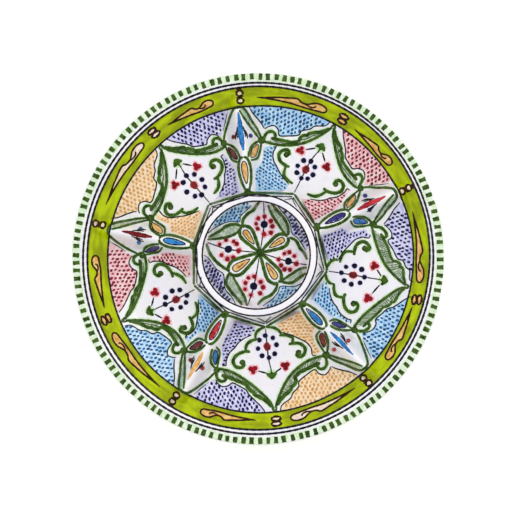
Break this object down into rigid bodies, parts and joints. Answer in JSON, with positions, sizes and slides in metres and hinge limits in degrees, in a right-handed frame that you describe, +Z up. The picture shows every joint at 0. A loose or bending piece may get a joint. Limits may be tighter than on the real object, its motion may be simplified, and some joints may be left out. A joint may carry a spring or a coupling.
{
  "type": "divided serving plate",
  "caption": "Round divided serving plate of hand painted glazed ceramic, with a low centre bowl, ridged compartments, a flat lip and a foot ring.",
  "frame": {"origin": "centre of the circle that the foot ring stands on, at the bottom of the bounding box", "axes": "+Z up out of the food side; +X and +Y lie in the plane the plate stands on, with divider_1 at 25.8 degrees from +X towards +Y"},
  "size_m": [0.38, 0.38, 0.0431],
  "materials": {
    "glazed_dish": "white tin glaze, glossy, painted in green, lime, navy, red, orange and blue",
    "glazed_bowl_wall": "white tin glaze, glossy, with a thin dark line on each side of the crest",
    "glazed_divider": "white tin glaze, glossy, painted with a leaf, a petal and flowers",
    "bare_clay": "bare fired clay, matte, wiped clean of glaze"
  },
  "bodies": {
    "root": {"dish": "glazed_dish", "bowl_wall": "glazed_bowl_wall", "divider_1": "glazed_divider", "divider_2": "glazed_divider", "divider_3": "glazed_divider", "divider_4": "glazed_divider", "divider_5": "glazed_divider", "foot_ring": "bare_clay"}
  },
  "joints": []
}
